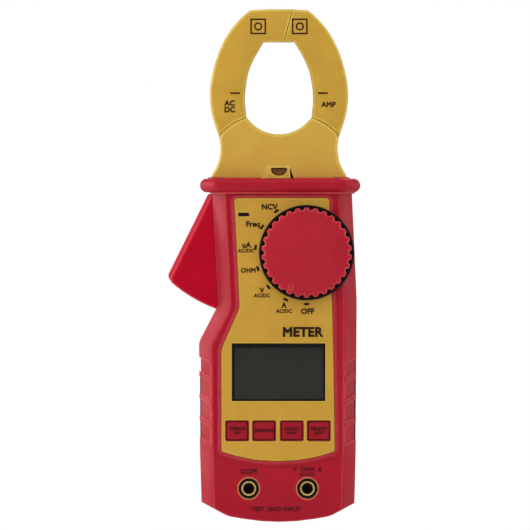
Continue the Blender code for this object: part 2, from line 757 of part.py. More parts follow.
def make_knob():
    bezel = [(7.9, 32.5), (20.5, 32.5), (20.5, 33.5), (20.1, 33.9), (7.9, 33.9)]
    turned("knob_bezel", "black_plastic", KNOB_AT, bezel, segments=56)
    levels = ((34.2, 0), (39.8, 0), (40.8, 1.3), (41.2, 2.1))
    sections = [(level, knob_outline(inset)) for level, inset in levels]
    knob = loft("rotary_knob", "red_plastic", sections)
    shaft = [(0, 27.4), (3.9, 27.4), (3.9, 29.2), (6.2, 29.2), (6.2, 34.8), (0, 34.8)]
    knob = join(knob, turned("shaft", "red_plastic", KNOB_AT, shaft))
    turn = math.radians(-90 - KNOB_REST)
    pointer = [KNOB_AT[i] + 16.4 * (math.cos(turn), math.sin(turn))[i] for i in (0, 1)]
    dimple = [(0, 40.4), (0.7, 40.6), (1.3, 42), (0, 42)]
    cut(knob, turned("cutter", "steel", pointer, dimple, segments=16))
    tube("switch_rotor", "black_plastic", KNOB_AT, 10.5, 4.2, 27.5, 28.7)
    wiper = tube("switch_wiper", "brass", KNOB_AT, 9.5, 6.0, 26.7, 27.2)
    cut(wiper, slab(block(0, 11.9, 100, 130), 20, 40))


def make_buttons():
    sheet = prism("keypad", "keypad_rubber", block(-22.5, 21.6, 36.2, 43.0), 26.7, 26.85)
    for name, x in BUTTON_XS.items():
        face = block(x - 4.3, x + 4.3, BUTTON_HEIGHT - 3.65, BUTTON_HEIGHT + 3.65)
        corners = [(u, v, 0.7) for u, v in face]
        levels = ((28.1, 0), (32.3, 0), (32.7, 0.3), (33.0, 0.95))
        sections = [(level, rounded(corners, inset)) for level, inset in levels]
        button = loft(f"button_{name}", "red_plastic", sections)
        flange = block(x - 5.0, x + 5.0, BUTTON_HEIGHT - 4.4, BUTTON_HEIGHT + 4.4)
        join(button, prism("flange", "red_plastic", flange, 28.0, 28.7))
        dome = rod("dome", "keypad_rubber", (x, BUTTON_HEIGHT), 2.4, 26.75, 27.05, segments=16)
        sheet = join(sheet, dome)


def make_jacks():
    for name, x in JACK_XS.items():
        spot = (x, JACK_HEIGHT)
        collar = [(3.3, 26.8), (4.45, 26.8), (4.45, 32.1), (4.2, 32.4), (3.6, 32.4), (3.3, 32.1)]
        turned(f"jack_{name}_collar", "black_plastic", spot, collar)
        socket = [(0, 12.5), (3.05, 12.5), (3.05, 28.0), (2.6, 28.0), (2.3, 27.6), (2.3, 14.0), (0, 14.0)]
        turned(f"jack_{name}_socket", "brass", spot, socket)


def make_display():
    """The window, with the display behind it in a frame that fills the opening of the case."""
    opening = block(*DISPLAY)
    corners = [(x, z, 0.6) for x, z in offset(opening, GAP)]
    prism("display_window", "display_glass", rounded(corners), 31.0, 31.6)
    frame = prism("display_frame", "black_plastic", offset(opening, GAP), 26.7, 30.7)
    frame = join(frame, prism("flange", "black_plastic", offset(opening, -1.4), 26.7, 28.4))
    left, right, foot, top = DISPLAY
    seen = block(left + 1.1, right - 0.8, foot + 0.7, top - 1.7)
    cut(frame, slab(seen, 20, 40))
    prism("display_panel", "lcd_glass", offset(seen, GAP), 26.8, 30.4)
    slot = block(-17.5, -12.8, 131.8, 133.4)
    prism("indicator_lens", "display_glass", offset(slot, GAP / 2), 29.2, 32.0)


# ---------------------------------------------------------------- electronics and power


def make_board():
    corners = [(18.5, 124.5, 1), (18.5, 78, 4), (21.6, 73, 4), (19.4, 34, 2), (19.4, 9, 1)]
    corners += [(-19.4, 9, 1), (-19.4, 34, 2), (-22.0, 73, 4), (-15.2, 91, 4), (-17.0, 124.5, 1)]
    board = prism("circuit_board", "circuit_board", rounded(corners), *PCB)
    for x in JACK_XS.values():
        board = cut(board, bore((x, JACK_HEIGHT), 3.4, 20, 40))
    back = PCB[0] - GAP
    prism("processor_chip", "black_plastic", block(-1, 11, 56, 68), back - 1.5, back)
    rod("buzzer", "black_plastic", (11, 44), 5.5, back - 5, back)
    rod("input_fuse", "white_plastic", (-6, 28), 2.6, back - 5, back, segments=16)


def make_power():
    tray = prism("battery_tray", "black_plastic", block(-13.4, 13.4, 26.4, 79.0), 2.6, 15.4)
    boss = prism("boss", "black_plastic", block(-2.8, 2.8, 78.4, 83.6), 2.6, 12)
    tray = cut(tray, slab(block(-12.2, 12.2, 27.6, 77.8), 0, 14.2))
    tray = cut(join(tray, boss), bore((0, 81.2), 1.2, 0, 10.6, 16))
    for number, x in enumerate(BATTERY_XS, 1):
        can = [(0, 30.0), (5.0, 30.0), (BATTERY_RADIUS, 30.2), (BATTERY_RADIUS, 73.4)]
        can += [(4.9, 73.6), (1.9, 73.6), (1.9, 74.4), (0, 74.4)]
        turned(f"battery_{number}", "battery_sleeve", (x, 8.4), can, along="Z", segments=24)
    prism("battery_contact_foot", "steel", block(-11.4, 11.4, 4.4, 12.4), 28.2, 28.7, along="Z")
    prism("battery_contact_head", "steel", block(-11.4, 11.4, 4.4, 12.4), 76.6, 77.1, along="Z")
    left, right, foot, top = HATCH
    corners = [(x, z, 1.0) for x, z in block(left + GAP, right - GAP, foot + GAP, top - GAP)]
    sections = [(0.0, rounded(corners, 0.3)), (0.4, rounded(corners)), (WALL, rounded(corners))]
    cover = loft("battery_cover", "red_plastic", sections)
    for height in (67.0, 69.0, 71.0, 73.0):
        cover = cut(cover, slab(block(-7, 7, height, height + 0.9), -1, 0.6))
    screw_at = (0, 81.2)
    cover = cut(cover, bore(screw_at, 1.3, -1, 5, 16), bore(screw_at, 2.2, -1, 1.1))
    profile = [(0, 0.2), (1.9, 0.2), (1.9, 0.8), (0.9, 0.8), (0.9, 9.6), (0, 9.6)]
    screw = turned("battery_cover_screw", "steel", screw_at, profile, segments=16)
    cut(screw, slab(block(-1.5, 1.5, 80.95, 81.45), -1, 0.5))


# ---------------------------------------------------------------- assembly


def scale_to_metres():
    for obj in bpy.data.objects:
        if obj.type == "MESH":
            obj.data.transform(Matrix.Scale(MM, 4))


def hang_moving_pieces():
    """Puts every moving piece on the axis of its joint."""
    named = bpy.data.objects
    jaw_pieces = ("core", "coil", "lever", "jaw_front_shell", "jaw_rear_shell")
    for side, sign in (("left", -1), ("right", 1)):
        joint = hinge(f"{side}_jaw_hinge", sign * PIVOT_X, SPLIT, PIVOT_HEIGHT)
        hang(joint, *(named[f"{side}_{piece}"] for piece in jaw_pieces))
    trigger_pieces = ("trigger", "trigger_screw_1", "trigger_screw_2", "hall_sensor")
    hang(named["left_jaw_hinge"], *(named[piece] for piece in trigger_pieces))
    knob = hinge("knob_axis", KNOB_AT[0], CASE_DEPTH, KNOB_AT[1])
    hang(knob, named["rotary_knob"], named["switch_rotor"], named["switch_wiper"])
    for name, x in BUTTON_XS.items():
        hang(hinge(f"button_{name}_slide", x, CASE_DEPTH, BUTTON_HEIGHT), named[f"button_{name}"])
    hatch = hinge("battery_cover_slide", 0, 0, (HATCH[2] + HATCH[3]) / 2)
    hang(hatch, named["battery_cover"], named["battery_cover_screw"])


def set_reference_point():
    """Moves the whole meter so that the origin lies on the back of the case."""
    reference = hinge("clamp_meter", 0, 0, 0)
    for obj in list(bpy.data.objects):
        if obj.parent is None and obj is not reference:
            obj.parent = reference
    reference.location.z = -REST_HEIGHT * MM


def main():
    clear_scene()
    make_front_case()
    make_rear_case()
    make_case_screws()
    make_hand_guard()
    make_face_plate()
    for side in ("left", "right"):
        make_jaw(side)
    make_levers()
    make_pivots()
    for which in ("front", "rear"):
        make_base_cover(which)
    make_base_screws()
    make_torch()
    make_trigger()
    make_knob()
    make_buttons()
    make_jacks()
    make_display()
    make_board()
    make_power()
    prism("hall_sensor", "black_plastic", mirrored(block(17.3, 21.6, 170.9, 172.1)), 15.2, 18.8)
    scale_to_metres()
    hang_moving_pieces()
    set_reference_point()


main()
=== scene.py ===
"""A clamp meter in a plain white studio: finishes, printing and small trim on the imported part."""

import math

import bpy
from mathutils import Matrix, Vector


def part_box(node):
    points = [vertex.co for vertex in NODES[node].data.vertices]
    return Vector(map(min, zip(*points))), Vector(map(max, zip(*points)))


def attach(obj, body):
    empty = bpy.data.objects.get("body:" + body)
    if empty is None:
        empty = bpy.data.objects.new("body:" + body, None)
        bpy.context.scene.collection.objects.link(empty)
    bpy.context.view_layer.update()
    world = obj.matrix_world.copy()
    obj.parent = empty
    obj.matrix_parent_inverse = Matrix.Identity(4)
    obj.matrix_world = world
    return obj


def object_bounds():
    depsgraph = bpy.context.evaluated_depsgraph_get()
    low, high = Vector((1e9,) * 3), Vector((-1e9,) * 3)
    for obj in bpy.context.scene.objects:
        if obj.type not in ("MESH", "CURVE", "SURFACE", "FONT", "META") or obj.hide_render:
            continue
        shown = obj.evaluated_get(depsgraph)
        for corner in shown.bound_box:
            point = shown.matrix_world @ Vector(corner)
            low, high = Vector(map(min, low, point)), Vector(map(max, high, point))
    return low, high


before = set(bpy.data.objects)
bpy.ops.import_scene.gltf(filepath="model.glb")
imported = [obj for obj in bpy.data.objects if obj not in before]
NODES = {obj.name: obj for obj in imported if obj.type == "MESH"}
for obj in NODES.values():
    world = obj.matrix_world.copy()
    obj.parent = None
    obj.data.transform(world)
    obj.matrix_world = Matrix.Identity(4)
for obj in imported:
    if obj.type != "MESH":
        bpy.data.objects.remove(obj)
CAD_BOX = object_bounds()

# Positions on the meter are X, height above the foot and depth forward of the back, in mm.
REST_HEIGHT = 100
FACE = 32.2
JAW_FACE = 26.0
CASE_FACE = 32.0
SEAM_DEPTH = 17.0
NOTCH_FACE = 26.26  # just in front of the notch's back, beside the torch lens, where a sheet of painted shadow lies
JACK_MOUTH = 29.7  # the middle of each gold mouth
INK = 0.03  # half the thickness of a printed mark, to which letters add their bevel

KNOB_AT = (11.9, 116.2)
DIAL_POSITIONS = 7
DIAL_STEP_DEG = 24
TICK_RADIUS = 22.1
TICK_SIZE = (1.1, 2.2)
TIP_MARK_AT = (8.95, 213.5)  # on the right jaw, and mirrored on the left, as the line below it is
TIP_SQUARES = (6.8, 5.4)  # outer and inner side
TIP_CIRCLES = (1.8, 1.1)  # outer and inner radius
ALIGN_MARK_AT = (18.9, 184.8)
ALIGN_MARK_SIZE = (4.2, 0.75)
LCD_SHADE = (73.6, 77.0)  # where the brow's shadow on the display starts and is darkest
LENS_SHADE = (149.8, 152.6)  # the same for the torch lens


def spot(x, height, depth):
    """A place on the meter as a point of the scene, in metres."""
    return Vector((x, -depth, height - REST_HEIGHT)) / 1000


# ---- Materials ----

class Shader:
    """A Principled material with its node tree, and short calls to add nodes to it."""

    def __init__(self, name, **constants):
        self.material = bpy.data.materials.new(name)
        self.material.use_nodes = True
        self.tree = self.material.node_tree
        self.surface = self.tree.nodes["Principled BSDF"]
        for socket, value in constants.items():
            self.surface.inputs[socket.replace("_", " ")].default_value = value
        self.place = self.add("ShaderNodeTexCoord").outputs["Object"]

    def add(self, kind, inputs=None, **settings):
        node = self.tree.nodes.new(kind)
        for key, value in settings.items():
            setattr(node, key, value)
        for socket, value in (inputs or {}).items():
            if isinstance(value, bpy.types.NodeSocket):
                self.tree.links.new(value, node.inputs[socket])
            else:
                node.inputs[socket].default_value = value
        return node

    def noise(self, size_mm, detail=2, rough=0.5, stretch=None):
        """Noise with features of about this size, from 0 to 1."""
        place = self.place
        if stretch:
            place = self.add("ShaderNodeMapping", {0: place, 3: stretch}).outputs[0]
        values = {"Vector": place, "Scale": 1000 / size_mm, "Detail": detail, "Roughness": rough}
        return self.add("ShaderNodeTexNoise", values).outputs["Fac"]

    def spread(self, value, low, high, start=0.3, end=0.7):
        """A value remapped from start..end to low..high."""
        values = {0: value, 1: start, 2: end, 3: low, 4: high}
        return self.add("ShaderNodeMapRange", values).outputs[0]

    def mix(self, share, first, second, blend="MIX"):
        """A colour between two others, either of which may be a socket."""
        node = self.add("ShaderNodeMix", data_type="RGBA", blend_type=blend)
        for socket, value in zip((node.inputs[0], node.inputs[6], node.inputs[7]), (share, first, second)):
            if isinstance(value, bpy.types.NodeSocket):
                self.tree.links.new(value, socket)
            else:
                socket.default_value = value
        return node.outputs[2]

    def rounded(self, radius_mm):
        """The surface normal with its edges rounded, and how near an edge a point is, from 0 to 1."""
        bevel = self.add("ShaderNodeBevel", {"Radius": radius_mm / 1000}, samples=4).outputs[0]
        flat = self.add("ShaderNodeNewGeometry").outputs["Normal"]
        both = self.add("ShaderNodeVectorMath", {0: bevel, 1: flat}, operation="DOT_PRODUCT")
        return bevel, self.spread(both.outputs["Value"], 1, 0, 0.9, 0.998)

    def rising(self, heights, most):
        """A share that is 0 at the first of two heights on the meter and most at the second."""
        height = self.add("ShaderNodeSeparateXYZ", {0: self.place}).outputs["Z"]
        low, high = ((level - REST_HEIGHT) / 1000 for level in heights)
        return self.spread(height, 0, most, low, high)

    def bump(self, height, depth_mm, normal=None):
        values = {"Height": height, "Distance": depth_mm / 1000}
        if normal:
            values["Normal"] = normal
        return self.add("ShaderNodeBump", values).outputs[0]

    def finish(self, **sockets):
        """Links node outputs to the surface, and gives the material."""
        for socket, value in sockets.items():
            self.tree.links.new(value, self.surface.inputs[socket.replace("_", " ")])
        return self.material


def srgb(red, green, blue):
    """A colour given by its 8-bit display values."""
    shares = [value / 255 for value in (red, green, blue)]
    return (*[s / 12.92 if s < 0.04045 else ((s + 0.055) / 1.055) ** 2.4 for s in shares], 1)


def plastic(name, body, deep, edge, grain_mm=0.35, grain_depth=0.012, rough=(0.42, 0.56),
            edge_radius=0.45, specular=0.3, wear_and_highlight_share=0.55):
    """Moulded plastic: spark texture, slight mottling, fine specks, and paler edges, partly wear and partly
    painted highlight.
    """
    shader = Shader(name, Specular_IOR_Level=specular)
    rim_radius = 2.4 * edge_radius
    mottle = shader.noise(9, detail=4)
    speck = shader.noise(0.25, detail=1)
    colour = shader.mix(shader.spread(mottle, 0, 1), body, deep)
    colour = shader.mix(shader.spread(speck, 0, 0.35, 0.35, 0.75), colour, deep)
    normal, _ = shader.rounded(edge_radius)
    _, near = shader.rounded(rim_radius)
    # Paler edges: partly wear, partly a painted highlight where light catches the rounding.
    wear_and_highlight = shader.add("ShaderNodeMath", {0: near, 1: shader.spread(shader.noise(2.2), 0.6, 1)},
                      operation="MULTIPLY").outputs[0]
    wear_and_highlight = shader.add("ShaderNodeMath", {0: wear_and_highlight, 1: wear_and_highlight_share}, operation="MULTIPLY").outputs[0]
    colour = shader.mix(wear_and_highlight, colour, edge)
    grain = shader.noise(grain_mm, detail=3, rough=0.6)
    smudge = shader.spread(shader.noise(14, detail=3), rough[0], rough[1])
    return shader.finish(Base_Color=colour, Roughness=smudge,
                         Normal=shader.bump(grain, grain_depth, normal))


# The third colour of each plastic is that of its paler edges: partly wear, partly painted highlight.
YELLOW = plastic("yellow_moulding", srgb(188, 147, 50), srgb(179, 139, 44), srgb(242, 218, 100),
                 specular=0.22, edge_radius=0.55, wear_and_highlight_share=0.95)
# Paler than the jaws' yellow: painted light that offsets the shade under the guard.
LIGHTENED_BASE_YELLOW = plastic("base_moulding", srgb(197, 156, 62), srgb(189, 148, 56), srgb(242, 218, 110),
                      specular=0.2, edge_radius=0.5, wear_and_highlight_share=0.8)
FACE_YELLOW = plastic("face_moulding", srgb(190, 148, 54), srgb(181, 140, 48), srgb(214, 180, 84),
                      grain_mm=0.2, grain_depth=0.006, specular=0.15)
RED = plastic("red_moulding", srgb(163, 3, 33), srgb(152, 2, 28), srgb(222, 84, 90),
              grain_mm=0.4, grain_depth=0.022, specular=0.2, wear_and_highlight_share=0.75)
TRIGGER_RED = plastic("trigger_moulding", srgb(174, 2, 35), srgb(166, 1, 31), srgb(236, 84, 88),
                      grain_mm=0.4, grain_depth=0.016, specular=0.06, edge_radius=0.6, wear_and_highlight_share=0.95)
KNOB_RED = plastic("knob_moulding", srgb(168, 24, 40), srgb(159, 19, 35), srgb(228, 98, 100),
                   grain_mm=0.3, grain_depth=0.012, specular=0.18, wear_and_highlight_share=0.75)
BUTTON_RED = plastic("button_moulding", srgb(150, 12, 30), srgb(140, 9, 26), srgb(214, 64, 80),
                     grain_mm=0.22, grain_depth=0.006, specular=0.15, edge_radius=0.3, wear_and_highlight_share=0.85)
ORANGE = plastic("orange_insert", srgb(206, 122, 56), srgb(188, 104, 44), srgb(236, 170, 100),
                 grain_mm=0.2, grain_depth=0.004)
BLACK = plastic("black_moulding", srgb(14, 8, 8), srgb(9, 5, 5), srgb(44, 34, 32),
                grain_mm=0.3, grain_depth=0.01, rough=(0.4, 0.55), specular=0.12)
WHITE = plastic("white_moulding", srgb(222, 220, 214), srgb(210, 208, 202), srgb(240, 240, 236),
                grain_mm=0.3, grain_depth=0.004)
# Also used for the strips of painted shade in the shell seams.
RUBBER_AND_SEAM_SHADE = plastic("keypad_rubber", srgb(70, 12, 14), srgb(54, 8, 10), srgb(90, 22, 24),
                 grain_mm=0.2, grain_depth=0.008, rough=(0.7, 0.85), specular=0.15)
SLEEVE = plastic("battery_wrap", srgb(38, 60, 96), srgb(30, 48, 80), srgb(70, 92, 128),
                 grain_mm=1.2, grain_depth=0.003, rough=(0.2, 0.3), edge_radius=0.3)


def metal(name, shade, tint, brush=(1, 1, 9), metallic=1.0, bore_shade_past=None):
    """Turned or drawn metal: fine brush lines, dull patches and edges brightened by painted highlight.

    Where a depth is given, painted shade darkens the metal behind it, as at the bottom of a bore.
    """
    shader = Shader(name, Metallic=metallic, Specular_IOR_Level=0.2)
    patch = shader.noise(3, detail=3)
    brushed = shader.noise(0.3, stretch=brush)
    normal, near = shader.rounded(0.2)
    colour = shader.mix(shader.spread(patch, 0, 1), shade, tint)
    # Painted highlight: the edges lightened towards a warm white.
    colour = shader.mix(shader.spread(near, 0, 0.5, 0, 1), colour, (1, 0.97, 0.9, 1), "SOFT_LIGHT")
    # Painted shade at the bottom of a bore.
    if bore_shade_past is not None:
        along = shader.add("ShaderNodeSeparateXYZ", {0: shader.place}).outputs["Y"]
        deep = shader.spread(along, 0, 1, -bore_shade_past / 1000, -(bore_shade_past - 1.5) / 1000)
        colour = shader.mix(deep, colour, srgb(22, 14, 8))
    return shader.finish(Base_Color=colour, Roughness=shader.spread(brushed, 0.22, 0.4),
                         Normal=shader.bump(brushed, 0.004, normal))


STEEL = metal("plated_steel", srgb(196, 196, 198), srgb(168, 168, 172))
BRASS = metal("gold_plated_brass", srgb(232, 184, 92), srgb(204, 152, 66))
# Paler than BRASS: painted light offsetting the shade inside the collars; painted shade darkens it behind
# 28.5 mm.
SOCKET = metal("gold_plated_socket", srgb(242, 204, 132), srgb(232, 190, 112), metallic=0.2,
               bore_shade_past=28.5)
COPPER = metal("copper_wire", srgb(196, 108, 66), srgb(160, 78, 44), brush=(12, 1, 1))
CORE_IRON = metal("stacked_core_iron", srgb(120, 122, 128), srgb(92, 94, 100), brush=(1, 14, 1))


def board_green():
    """Solder resist over copper tracks."""
    shader = Shader("solder_resist", Specular_IOR_Level=0.5)
    tracks = shader.add("ShaderNodeTexVoronoi", {"Vector": shader.place, "Scale": 420.0},
                        distance="MANHATTAN", feature="DISTANCE_TO_EDGE").outputs["Distance"]
    share = shader.spread(tracks, 1, 0, 0.03, 0.09)
    colour = shader.mix(share, srgb(18, 72, 40), srgb(38, 108, 60))
    return shader.finish(Base_Color=colour, Roughness=shader.spread(shader.noise(1.5), 0.25, 0.4),
                         Normal=shader.bump(share, 0.02))


def display_glass():
    """Clear hard-coated acrylic with a trace of haze and fine wiping marks."""
    shader = Shader("window_acrylic", IOR=1.49, Transmission_Weight=1.0)
    shader.surface.inputs["Base Color"].default_value = (0.86, 0.86, 0.84, 1)
    wipe = shader.noise(0.8, stretch=(1, 1, 6))
    return shader.finish(Roughness=shader.spread(wipe, 0.04, 0.12))


def lcd_glass():
    """A dark unlit liquid-crystal panel with its fine cell grid, and a painted shadow of the brow darkening
    its top.
    """
    shader = Shader("lcd_panel", Specular_IOR_Level=0.4)
    grid = shader.add("ShaderNodeTexChecker", {"Vector": shader.place, "Scale": 1100.0}).outputs["Fac"]
    clouds = shader.noise(16, detail=3)
    colour = shader.mix(shader.spread(clouds, 0, 1), srgb(86, 85, 74), srgb(74, 73, 65))
    colour = shader.mix(shader.spread(grid, 0, 0.25, 0, 1), colour, srgb(56, 55, 50))
    # Painted shadow of the brow.
    colour = shader.mix(shader.rising(LCD_SHADE, 0.6), colour, srgb(20, 20, 20))
    return shader.finish(Base_Color=colour, Roughness=shader.spread(shader.noise(5), 0.28, 0.4))


def torch_glass():
    """Smoked amber lens with moulded ripples, darkened towards its top by painted shade, so paler towards
    its foot.
    """
    shader = Shader("amber_lens", IOR=1.5, Transmission_Weight=0.35, Specular_IOR_Level=0.5)
    ripple = shader.noise(0.9)
    colour = shader.mix(shader.spread(ripple, 0, 1), srgb(172, 112, 44), srgb(112, 62, 20))
    # Painted shade from the brow, darkest at the top of the lens.
    colour = shader.mix(shader.rising(LENS_SHADE, 0.75), colour, srgb(64, 32, 10))
    return shader.finish(Base_Color=colour, Roughness=shader.spread(ripple, 0.12, 0.3),
                         Normal=shader.bump(ripple, 0.03))


def ink(name, shade):
    """Pad-printed ink: nearly flat, slightly broken where it sits on the grain."""
    shader = Shader(name, Specular_IOR_Level=0.2)
    broken = shader.noise(0.3)
    paler = tuple(min(1, value * 1.6 + 0.01) for value in shade[:3]) + (1,)
    colour = shader.mix(shader.spread(broken, 0, 0.6, 0.45, 0.75), shade, paler)
    return shader.finish(Base_Color=colour, Roughness=shader.spread(broken, 0.5, 0.7),
                         Normal=shader.bump(broken, 0.006))


BOARD = board_green()
WINDOW = display_glass()
LCD = lcd_glass()
LENS = torch_glass()
DARK_INK = ink("dark_print", srgb(34, 16, 4))
JAW_INK = ink("brown_print", srgb(48, 16, 0))
BUTTON_INK = ink("button_print", srgb(40, 2, 6))
# Also used for the painted shadow in the notch beside the torch.
MAROON_PRINT_AND_SHADOW = ink("maroon_print_and_shadow", srgb(74, 2, 14))

FINISH_OF = {
    "front_case": RED, "rear_case": RED, "hand_guard": RED, "trigger": TRIGGER_RED, "battery_cover": RED,
    "rotary_knob": KNOB_RED, "knob_bezel": BLACK, "display_frame": BLACK, "battery_tray": BLACK,
    "button_torch": BUTTON_RED, "button_minmax": BUTTON_RED, "button_hold": BUTTON_RED,
    "button_select": BUTTON_RED, "keypad": RUBBER_AND_SEAM_SHADE, "face_plate": FACE_YELLOW,
    "left_jaw_front_shell": YELLOW, "left_jaw_rear_shell": YELLOW, "right_jaw_front_shell": YELLOW,
    "right_jaw_rear_shell": YELLOW, "base_front_cover": LIGHTENED_BASE_YELLOW, "base_rear_cover": LIGHTENED_BASE_YELLOW,
    "jack_com_collar": BLACK, "jack_volt_collar": BLACK, "jack_com_socket": SOCKET,
    "jack_volt_socket": SOCKET, "display_window": WINDOW, "display_panel": LCD, "torch_lens": LENS,
    "indicator_lens": BLACK, "circuit_board": BOARD, "battery_1": SLEEVE, "battery_2": SLEEVE,
    "battery_contact_foot": STEEL, "battery_contact_head": STEEL, "left_coil": COPPER,
    "right_coil": COPPER, "left_core": CORE_IRON, "right_core": CORE_IRON, "buzzer": BLACK,
    "processor_chip": BLACK, "hall_sensor": BLACK, "input_fuse": WHITE, "torch_led": WHITE,
    "switch_rotor": BLACK, "switch_wiper": BRASS, "left_lever": CORE_IRON, "right_lever": CORE_IRON,
}  # the rest, screws, pins and springs, are STEEL

MERGE_M = 2e-6
CREASE_DEG = 32


def smoothing():
    """A node group that rejoins a CAD mesh and shades its gentle turns as curves."""
    tree = bpy.data.node_groups.new("smooth_curves", "GeometryNodeTree")
    tree.interface.new_socket("Geometry", in_out="INPUT", socket_type="NodeSocketGeometry")
    tree.interface.new_socket("Geometry", in_out="OUTPUT", socket_type="NodeSocketGeometry")
    nodes, links = tree.nodes, tree.links
    start, end = nodes.new("NodeGroupInput"), nodes.new("NodeGroupOutput")
    plain = nodes.new("GeometryNodeRemoveAttribute")
    plain.inputs["Name"].default_value = "custom_normal"
    merge = nodes.new("GeometryNodeMergeByDistance")
    merge.inputs["Distance"].default_value = MERGE_M
    curved = nodes.new("GeometryNodeSetShadeSmooth")
    creased = nodes.new("GeometryNodeSetShadeSmooth")
    creased.domain = "EDGE"
    creased.inputs["Shade Smooth"].default_value = False
    turn = nodes.new("GeometryNodeInputMeshEdgeAngle")
    sharp = nodes.new("FunctionNodeCompare")
    sharp.operation = "GREATER_THAN"
    sharp.inputs[1].default_value = math.radians(CREASE_DEG)
    links.new(turn.outputs["Unsigned Angle"], sharp.inputs[0])
    links.new(sharp.outputs[0], creased.inputs["Selection"])
    chain = [start, plain, merge, curved, creased, end]
    for first, second in zip(chain, chain[1:]):
        links.new(first.outputs[0], second.inputs["Geometry"])
    return tree


SMOOTH = smoothing()
for name, node in NODES.items():
    node.data.materials.clear()
    node.data.materials.append(FINISH_OF.get(name, STEEL))
    node.modifiers.new("smooth_curves", "NODES").node_group = SMOOTH


# ---- Printing and trim ----

def piece(obj, name, finish, body):
    """Names an object, gives it its finish and lets it ride on a body."""
    obj.name = name
    obj.data.materials.append(finish)
    bpy.context.scene.collection.objects.link(obj)
    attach(obj, body)
    return obj


LETTER_SCALE = 1.15
CAP_SHARE = 0.73  # the height of a capital in a font of size 1
BOLDNESS = 0.05
LETTER_SPACING = 1.06


def words(name, text, x, height, cap_mm, depth=FACE, body="case", finish=DARK_INK, slot="black_plastic"):
    """A printed line of text, centred on x and height."""
    curve = bpy.data.curves.new(name, "FONT")
    curve.body = text
    curve.size = cap_mm * LETTER_SCALE / CAP_SHARE / 1000
    curve.extrude = INK / 1000
    curve.bevel_depth = BOLDNESS * curve.size
    curve.bevel_resolution = 1
    curve.space_character = LETTER_SPACING
    curve.align_x, curve.align_y = "CENTER", "CENTER"
    obj = bpy.data.objects.new(name, curve)
    obj.location = spot(x, height, depth)
    obj.rotation_euler = (math.radians(90), 0, 0)
    return piece(obj, name, finish, body)


def flat(name, outlines, depth, finish, body, slot, thick=INK):
    """A thin shape of closed outlines of (x, height) points, thick to each side of its depth.

    An outline inside another cuts a hole.
    """
    curve = bpy.data.curves.new(name, "CURVE")
    curve.dimensions, curve.fill_mode = "2D", "BOTH"
    curve.extrude = thick / 1000
    for outline in outlines:
        line = curve.splines.new("POLY")
        line.points.add(len(outline) - 1)
        for point, (x, height) in zip(line.points, outline):
            point.co = (x / 1000, (height - REST_HEIGHT) / 1000, 0, 1)
        line.use_cyclic_u = True
    obj = bpy.data.objects.new(name, curve)
    obj.location = (0, -depth / 1000, 0)
    obj.rotation_euler = (math.radians(90), 0, 0)
    return piece(obj, name, finish, body)


def box(x, height, wide, high, turn=0.0):
    """The outline of a rectangle, turned about its centre."""
    c, s = math.cos(turn), math.sin(turn)
    corners = [(-wide / 2, -high / 2), (wide / 2, -high / 2), (wide / 2, high / 2), (-wide / 2, high / 2)]
    return [(x + a * c - b * s, height + a * s + b * c) for a, b in corners]


def ring(x, height, radius):
    """The outline of a disc."""
    steps = 40
    turns = [math.tau * step / steps for step in range(steps)]
    return [(x + radius * math.cos(turn), height + radius * math.sin(turn)) for turn in turns]


def torus(centre, radius, thickness):
    """A ring lying in the plane of the meter's face, both sizes being radii in mm."""
    around, across = 56, 10
    verts, faces = [], []
    for i in range(around):
        for j in range(across):
            turn, roll = math.tau * i / around, math.tau * j / across
            reach = (radius + thickness * math.cos(roll)) / 1000
            rise = -thickness * math.sin(roll) / 1000
            verts.append((reach * math.cos(turn), rise, reach * math.sin(turn)))
            after = (i + 1) % around
            corners = (i * across + j, i * across + (j + 1) % across)
            faces.append((*corners, after * across + (j + 1) % across, after * across + j))
    mesh = bpy.data.meshes.new("torus")
    mesh.from_pydata(verts, [], faces)
    mesh.validate()
    mesh.shade_smooth()
    obj = bpy.data.objects.new("torus", mesh)
    obj.location = centre
    return obj


def face_of(node):
    """The X and height of the middle of a node, and the depth of its front, in mm."""
    low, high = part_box(node)
    middle = (low + high) / 2
    return middle.x * 1000, middle.z * 1000 + REST_HEIGHT, -low.y * 1000


# Each text comes with its x, its height on the meter and the height of its capitals.
FACE_WORDS = {
    "ncv": ("NCV", -4.1, 135.8, 2.0), "freq": ("Freq", -11.2, 128.4, 2.0), "ua": ("uA", -14.0, 119.4, 2.0),
    "ua_acdc": ("AC/DC", -14.2, 117.0, 1.35), "ohm": ("OHM", -13.2, 108.5, 1.7),
    "v": ("V", -7.4, 99.9, 1.9), "v_acdc": ("AC/DC", -7.3, 97.7, 1.35), "a": ("A", 2.1, 93.5, 1.9),
    "a_acdc": ("AC/DC", 2.1, 91.0, 1.35), "off": ("OFF", 12.3, 90.9, 2.0),
    "name": ("METER", 10.1, 81.9, 3.5),
}
for name, line in FACE_WORDS.items():
    words(f"label_{name}", *line)

for step in range(DIAL_POSITIONS):
    turn = math.radians(-90 - DIAL_STEP_DEG * step)
    x = KNOB_AT[0] + TICK_RADIUS * math.cos(turn)
    height = KNOB_AT[1] + TICK_RADIUS * math.sin(turn)
    flat(f"dial_tick_{step}", [box(x, height, *TICK_SIZE, turn)], FACE, DARK_INK, "case", "black_plastic")

JACK_WORDS = {
    "com": ("COM", -13.0, 22.1, 1.9), "volt_amp": ("V  OHM  A", 12.2, 23.0, 1.6),
    "volt_kinds": ("AC/DC", 12.2, 20.8, 1.3), "input": ("TEST LEAD INPUT", -1.2, 5.9, 1.6),
}
for name, line in JACK_WORDS.items():
    words(f"label_{name}", *line, depth=CASE_FACE, finish=MAROON_PRINT_AND_SHADOW)

